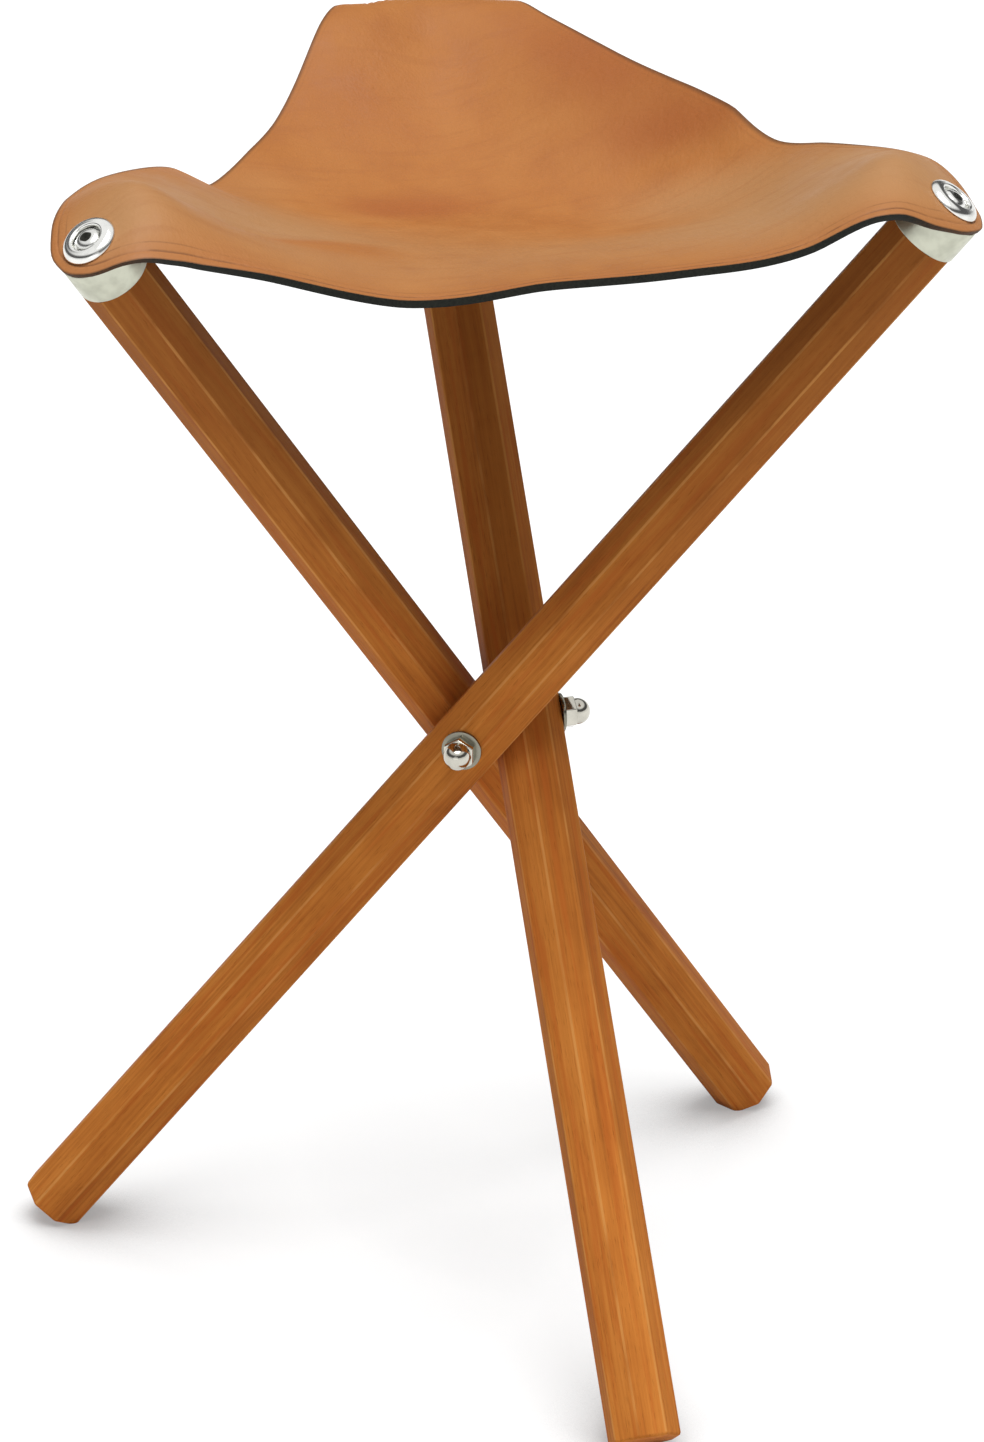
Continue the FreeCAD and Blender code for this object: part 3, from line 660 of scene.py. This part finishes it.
# Tone of the leather by place, painted light and shade: paler on the front shelf and corners that face the
# light, where the leather is also stretched, and deeper in the hollow, the valley and the slopes that turn
# from the light.
# Columns: x, y, half length, half width, degrees that the length is turned from the x axis, and how much
# paler or deeper the leather is there.
TONES = (
    (0, -75, 190, 45, 0, 0.5),
    (-125, -38, 60, 45, 0, 0.75),
    (-180, -88, 22, 22, 0, 0.6),
    (138, -88, 70, 55, -25, 1.0),
    (-70, -5, 60, 35, 0, 0.35),
    (-85, 45, 40, 40, 0, 0.4),
    (95, 0, 45, 26, -30, 0.6),
    (-96, -60, 40, 15, -8, -0.9),
    (-28, 45, 44, 17, 0, -0.9),
    (-28, 122, 50, 34, 0, -0.35),
    (78, 108, 70, 22, -67, -0.75),
    (100, 40, 50, 12, -35, -0.6),
)
# Share of the thickness that is pared off the rim of each tip, and over what width.
PARED_TIP = 0.4
PARED_WIDTH = 6.0
# The tips are worn and pared as far as this from the screw, fading over the last stretch.
TIP_WEAR_REACH = 34.0
TIP_WEAR_FADE = 14.0
# Rings along the cut edge, by their distance from it. One is pressed in as a crease, which runs out
# over the fade's distance in front of the bolt's axis.
RIM_STEPS = (0.0, 0.8, 1.7, 2.6, 3.1, 3.6, 4.6, 7.0, 11.0)
GROOVE_STEP = 4
GROOVE_DEPTH = 0.3
GROOVE_FADE = 40.0
# Points round the cut edge, and rings drawn in from the last edge ring to the middle.
OUTLINE_POINTS = 360
INNER_RINGS = 40
# Distance from the cut edge that the middle counts as, the rounding of the cut edge, and the weight
# that lets the surface smooth over its stations.
MIDDLE_DEPTH = 100.0
EDGE_EASING = 0.8
PLATE_EASING = 3.0


def plan_point(corner, out, across):
    lean, arm = directions(corner)
    return np.array((lean * out + arm * across)[:2])


def flap_point(corner, down, across, lift=0.0):
    """Place on the leather's top over a leg's end: down its slope from the screw, and across it."""
    flat = plan_point(corner, END_REACH + down * math.cos(TILT), PIVOT_OFFSET + across)
    height = (LEATHER + LEATHER_GAP) / math.cos(TILT) - down * math.sin(TILT) + lift
    return (*flat, height)


def ridge_point(corner, step):
    """Place on the ridge, from step 0 on the bolt arm's side to step 4."""
    flat = plan_point(corner, END_REACH - RIDGE_INSET, PIVOT_OFFSET + RIDGE_HALF * (1 - step / 2))
    return (*flat, RIDGE_HEIGHTS[corner][step])


def edge_points(start, end, heights):
    """Places along a free edge, a little hollow in plan."""
    first = np.array(ridge_point(start, 4)[:2])
    last = np.array(ridge_point(end, 0)[:2])
    run = last - first
    inwards = np.array((-run[1], run[0])) / np.linalg.norm(run)
    points = []
    for share, height in zip(EDGE_SHARES, heights):
        flat = first + run * share + inwards * EDGE_HOLLOW * 4 * share * (1 - share)
        points.append((*flat, height))
    return points


def tip_points(corner):
    """Rounded tip that hangs over the leg's end, from the bolt arm's side to the other."""
    near, far = TIP_DROOP[corner]
    points = [flap_point(corner, TIP_REACH, 0.0, -TIP_END_DROOP)]
    for (down, across), droop in zip(TIP_SIDE, near):
        points.insert(0, flap_point(corner, down, across, -droop))
    for (down, across), droop in zip(TIP_SIDE, far):
        points.append(flap_point(corner, down, -across, -droop))
    return points


def seat_outline():
    """Closed outline in plan, evenly divided."""
    nodes = []
    for start, end, heights in EDGES:
        nodes.append(ridge_point(start, 0))
        nodes += tip_points(start)
        nodes.append(ridge_point(start, 4))
        nodes += edge_points(start, end, heights)
    return smooth_loop(np.array(nodes)[:, :2], OUTLINE_POINTS)


def smooth_loop(nodes, count):
    """Catmull-Rom loop through the nodes, resampled to even steps."""
    fine = []
    for number in range(len(nodes)):
        before, here, after, later = (nodes[(number + shift) % len(nodes)] for shift in (-1, 0, 1, 2))
        for share in np.arange(0, 1, 0.05):
            fine.append(0.5 * (
                2 * here + (after - before) * share
                + (2 * before - 5 * here + 4 * after - later) * share ** 2
                + (3 * here - before - 3 * after + later) * share ** 3
            ))
    fine = np.array(fine + fine[:1])
    steps = np.linalg.norm(np.diff(fine, axis=0), axis=1)
    along = np.concatenate(([0.0], np.cumsum(steps)))
    wanted = np.linspace(0, along[-1], count, endpoint=False)
    return np.stack([np.interp(wanted, along, fine[:, axis]) for axis in (0, 1)], axis=1)


def form_stations():
    """Places that shape the leather: edges, ridges, flaps over the leg ends, and the sag."""
    stations = []
    for start, end, heights in EDGES:
        stations += edge_points(start, end, heights)
    for corner in CORNERS:
        stations += [ridge_point(corner, step) for step in range(5)]
        for radius, bearings in FLAP_CIRCLES:
            for angle in map(math.radians, bearings):
                stations.append(flap_point(corner, radius * math.cos(angle), radius * math.sin(angle)))
        stations += tip_points(corner)
        for out, height in CLIMB:
            stations.append((*plan_point(corner, out, PIVOT_OFFSET * out / END_REACH), height))
    stations += SAG
    return np.array(stations, dtype=float)


def thin_plate(stations):
    """Function of plan places: the smooth surface that passes close to the stations."""
    places = stations[:, :2]

    def stiffness(targets):
        gaps = ((targets[:, None] - places[None]) ** 2).sum(axis=2)
        return 0.5 * gaps * np.log(np.maximum(gaps, 1e-9))

    def flat_terms(targets):
        return np.column_stack((np.ones(len(targets)), targets))

    count = len(places)
    system = np.zeros((count + 3, count + 3))
    system[:count, :count] = stiffness(places) + PLATE_EASING * np.eye(count)
    system[:count, count:] = flat_terms(places)
    system[count:, :count] = flat_terms(places).T
    weights = np.linalg.solve(system, np.concatenate((stations[:, 2], np.zeros(3))))
    return lambda targets: stiffness(targets) @ weights[:count] + flat_terms(targets) @ weights[count:]


def seat_rings():
    """Rings of plan places from the cut edge to the middle, and each ring's distance from the edge."""
    rim = seat_outline()
    along = np.roll(rim, -1, axis=0) - np.roll(rim, 1, axis=0)
    inwards = np.stack((-along[:, 1], along[:, 0]), axis=1)
    inwards /= np.linalg.norm(inwards, axis=1)[:, None]
    rings = [(rim + inwards * step, step) for step in RIM_STEPS]
    last, depth = rings[-1]
    for number in range(1, INNER_RINGS):
        share = 1 - number / INNER_RINGS
        rings.append((last * share, depth + (1 - share) * MIDDLE_DEPTH))
    return rings


def seat_sheet():
    """Top of the leather as one sheet: rings drawn in from the cut edge and closed in the middle."""
    surface = thin_plate(form_stations())
    bm = bmesh.new()
    rim_layer = bm.verts.layers.float.new("rim")
    tone_layer = bm.verts.layers.float.new("tone")
    tip_layer = bm.verts.layers.float.new("tip")
    pare_layer = bm.verts.layers.deform.new()
    made = bmesh.ops.create_circle(bm, segments=OUTLINE_POINTS, radius=1.0)
    ring = made["verts"]
    edges = list({edge for vert in ring for edge in vert.link_edges})
    for number, (places, depth) in enumerate(seat_rings()):
        if number:
            grown = bmesh.ops.extrude_edge_only(bm, edges=edges)["geom"]
            fresh = {item for item in grown if isinstance(item, bmesh.types.BMVert)}
            ring = next_ring(ring, fresh)
            edges = [item for item in grown if isinstance(item, bmesh.types.BMEdge)
                     and all(vert in fresh for vert in item.verts)]
        heights = surface(places)
        if number == GROOVE_STEP:
            heights = heights - GROOVE_DEPTH * np.clip(-places[:, 1] / GROOVE_FADE, 0, 1)
        for vert, place, height in zip(ring, places, heights):
            vert.co = (place[0], place[1], height)
            vert[rim_layer] = depth * MM
            vert[tone_layer] = leather_tone(*place)
            vert[tip_layer] = near_tip(place)
            vert[pare_layer][0] = 1 - PARED_TIP * vert[tip_layer] * max(0, 1 - depth / PARED_WIDTH)
    middle = (0, 0, float(surface(np.zeros((1, 2)))[0]))
    bmesh.ops.pointmerge(bm, verts=ring, merge_co=middle)
    bmesh.ops.recalc_face_normals(bm, faces=bm.faces)
    if sum(face.normal.z for face in bm.faces) < 0:
        bmesh.ops.reverse_faces(bm, faces=bm.faces)
    cut = bm.loops.layers.uv.new("cut")
    for face in bm.faces:
        for loop in face.loops:
            loop[cut].uv = loop.vert.co.xy * MM
    return bm


def next_ring(ring, fresh):
    """The fresh points, in the order of the ring that they were drawn from."""
    drawn = []
    for vert in ring:
        drawn += [edge.other_vert(vert) for edge in vert.link_edges if edge.other_vert(vert) in fresh]
    return drawn


def near_tip(place):
    """1 on the tips over the leg ends, falling to 0 where the free edges begin."""
    gaps = [np.linalg.norm(place - plan_point(corner, END_REACH, PIVOT_OFFSET)) for corner in CORNERS]
    return min(1, max(0, (TIP_WEAR_REACH - min(gaps)) / TIP_WEAR_FADE))


def leather_tone(x, y):
    """Sum of the tones at a place, painted light and shade: paler above 0, deeper below."""
    tone = 0.0
    for middle_x, middle_y, half_length, half_width, turned, amount in TONES:
        away = Vector((x - middle_x, y - middle_y))
        away.rotate(Matrix.Rotation(-math.radians(turned), 2))
        tone += amount * math.exp(-(away.x / half_length) ** 2 - (away.y / half_width) ** 2)
    return tone


def finished_seat(materials):
    """The whole seat with its thickness and rounded cut edge, as one mesh."""
    leg_ends = Matrix.Translation(HUB + UP * LEG_END * MM * math.cos(TILT))
    sheet = mesh_from(seat_sheet(), "seat_sheet", leg_ends, sharp=180)
    whole = add_object("seat_whole", sheet, materials)
    whole.vertex_groups.new(name="pared")
    thick = whole.modifiers.new("thickness", "SOLIDIFY")
    thick.vertex_group = "pared"
    thick.thickness = LEATHER * MM
    thick.offset = -1
    thick.use_even_offset = True
    thick.material_offset = 2
    thick.material_offset_rim = 1
    eased = whole.modifiers.new("eased_edge", "BEVEL")
    eased.width = EDGE_EASING * MM
    eased.segments = 3
    eased.profile = 0.5
    eased.limit_method = "ANGLE"
    eased.angle_limit = math.radians(50)
    graph = bpy.context.evaluated_depsgraph_get()
    made = bpy.data.meshes.new_from_object(
        whole.evaluated_get(graph), preserve_all_data_layers=True, depsgraph=graph)
    bpy.data.objects.remove(whole)
    return made


def make_seat(materials):
    """The seat as three corners that meet in the middle."""
    whole = finished_seat(materials)
    normals = whole.attributes.new("whole_normal", "FLOAT_VECTOR", "POINT")
    normals.data.foreach_set("vector", np.array([v.normal for v in whole.vertices]).ravel())
    seams = {}
    for start, end, heights in EDGES:
        middle = edge_points(start, end, heights)[EDGE_SHARES.index(0.5)]
        seams[start, end] = math.atan2(middle[1], middle[0])
    for corner in CORNERS:
        first = next(angle for (_, end), angle in seams.items() if end == corner)
        last = next(angle for (start, _), angle in seams.items() if start == corner)
        piece = seat_corner(whole, corner, first, last, materials)
        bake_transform(piece)
    bpy.data.meshes.remove(whole)


def seat_corner(whole, corner, first, last, materials):
    """One corner of the seat, between two seams given as angles round the bolt's axis."""
    bm = bmesh.new()
    bm.from_mesh(whole)
    spread = (last - first) % (2 * math.pi)
    away = []
    for face in bm.faces:
        centre = face.calc_center_median() - HUB
        if (math.atan2(centre.y, centre.x) - first) % (2 * math.pi) > spread:
            away.append(face)
    bmesh.ops.delete(bm, geom=away, context="FACES")
    close_seams(bm)
    mesh = bpy.data.meshes.new(f"seat_{corner}_corner")
    bm.to_mesh(mesh)
    bm.free()
    mesh.shade_smooth()
    kept = np.zeros(len(mesh.vertices) * 3)
    mesh.attributes["whole_normal"].data.foreach_get("vector", kept)
    mesh.normals_split_custom_set_from_vertices(kept.reshape(-1, 3).tolist())
    mesh.attributes.remove(mesh.attributes["whole_normal"])
    piece = add_object(f"seat_{corner}_corner", mesh, materials, node="seat")
    return piece


def close_seams(bm):
    """Wall up the cut through the leather's thickness, where a corner meets its neighbours."""
    open_edges = [edge for edge in bm.edges if edge.is_boundary]
    sides = [[], [], []]
    for edge in open_edges:
        sides[edge.link_faces[0].material_index].append(edge)
    bmesh.ops.bridge_loops(bm, edges=sides[0] + sides[2])
    ends = [edge for edge in bm.edges if edge.is_boundary]
    bmesh.ops.holes_fill(bm, edges=ends, sides=0)
    bmesh.ops.recalc_face_normals(bm, faces=bm.faces)


# Stage


def make_floor():
    """Pale floor that the camera sees as white, with the stool's soft shadow left on it and a painted
    contact shadow near the feet.
    """
    bm = bmesh.new()
    bmesh.ops.create_grid(bm, x_segments=1, y_segments=1, size=40)
    mesh = bpy.data.meshes.new("floor")
    bm.to_mesh(mesh)
    bm.free()
    pale = bpy.data.materials.new("pale_floor")
    made = Nodes(pale)
    watched = made.watched()
    # Painted contact shadow: an ambient-occlusion mask dims the floor's white glow near the feet and legs.
    nearby = made.add("AmbientOcclusion", {"samples": 8}, Distance=0.18)
    painted_contact_shadow = made.span(nearby.outputs["AO"], 0.5, 0.99, 0.34, 0.88)
    made.set(
        Base_Color=made.mix(watched, (0.86, 0.86, 0.86), (0.28, 0.28, 0.28)),
        Roughness=1.0,
        Specular_IOR_Level=0.0,
        Emission_Color=(1, 1, 1, 1),
        Emission_Strength=made.math("MULTIPLY", watched, painted_contact_shadow),
    )
    floor = add_object("floor", mesh, [pale])


def make_light():
    """White horizon, dim walls and a white ceiling, a wide soft light overhead and a weak one in front."""
    world = bpy.data.worlds.new("studio")
    bpy.context.scene.world = world
    made = Nodes(world, "Background")
    toward = made.add("TexCoord").outputs["Generated"]
    height = made.add("SeparateXYZ", Vector=toward).outputs["Z"]
    made.set(
        Color=made.ramp(
            height, (0.16, (1, 1, 1)), (0.24, (0.10, 0.10, 0.10)),
            (0.50, (0.10, 0.10, 0.10)), (0.64, (1, 1, 1)),
        ),
        Strength=made.span(made.watched(), 0.0, 1.0, 0.24, 1.0),
    )
    add_lamp("overhead", (0.0, -0.26, 1.0), 44, 2.80)
    add_lamp("front", (-0.45, -1.0, 0.12), 40, 0.20)


def add_lamp(name, source, spread, strength):
    """Even soft light that comes from a direction, spread over some degrees."""
    lamp = bpy.data.lights.new(name, "SUN")
    lamp.angle = math.radians(spread)
    lamp.energy = strength
    holder = bpy.data.objects.new(name, lamp)
    bpy.context.scene.collection.objects.link(holder)
    turned = (-Vector(source)).to_track_quat("-Z", "Y").to_matrix().to_4x4()
    holder.matrix_world = Matrix.Translation(Vector(source) * 3) @ turned


def make_camera():
    lens = bpy.data.cameras.new("camera")
    lens.sensor_fit = "AUTO"
    lens.sensor_width = 36.0
    lens.lens = VIEW_FOCAL / PHOTO_HEIGHT * lens.sensor_width
    lens.shift_x = (PHOTO_WIDTH / 2 - VIEW_CENTRE[0]) / PHOTO_HEIGHT
    lens.shift_y = (VIEW_CENTRE[1] - PHOTO_HEIGHT / 2) / PHOTO_HEIGHT
    azimuth = math.radians(VIEW_AZIMUTH)
    rise = math.radians(VIEW_ELEVATION)
    roll = math.radians(VIEW_ROLL)
    back = Vector((
        math.sin(azimuth) * math.cos(rise), -math.cos(azimuth) * math.cos(rise), math.sin(rise)))
    right = UP.cross(back).normalized()
    top = back.cross(right)
    rolled_right = right * math.cos(roll) + top * math.sin(roll)
    rolled_top = top * math.cos(roll) - right * math.sin(roll)
    placed = Matrix((rolled_right, rolled_top, back)).transposed().to_4x4()
    placed.translation = HUB + back * VIEW_DISTANCE * MM
    camera = bpy.data.objects.new("camera", lens)
    camera.matrix_world = placed
    bpy.context.scene.collection.objects.link(camera)
    bpy.context.scene.camera = camera


def main():
    wood = oiled_wood()
    satin = metal("satin_ferrule", (0.60, 0.61, 0.50), 0.34, 0.46, 900.0)
    bright = metal("bright_plating", (0.84, 0.84, 0.81), 0.12, 0.22, 1500.0)
    nickel = metal("nickel_plating", (0.60, 0.58, 0.51), 0.08, 0.15, 1500.0)
    dull = metal("dull_washer", (0.27, 0.26, 0.21), 0.24, 0.36, 1300.0)
    shade = metal("socket_shade", (0.07, 0.07, 0.06), 0.45, 0.60, 1300.0)
    steel = metal("plain_steel", (0.58, 0.58, 0.57), 0.26, 0.40, 1100.0)
    for corner in CORNERS:
        make_leg(corner, wood)
        make_ferrule(corner, satin)
        make_cup_washer(corner, bright)
        make_screw(corner, bright, shade)
        make_bolt_washer(corner, dull)
        make_cap_nut(corner, nickel)
    bolt = frame["nodes"]["three_way_bolt"]
    bolt.data.materials.clear()
    bolt.data.materials.append(steel)
    make_seat([tan_leather(), cut_edge(), flesh_side()])
    make_floor()
    make_light()
    make_camera()
    bpy.context.scene.view_settings.view_transform = "Standard"


main()
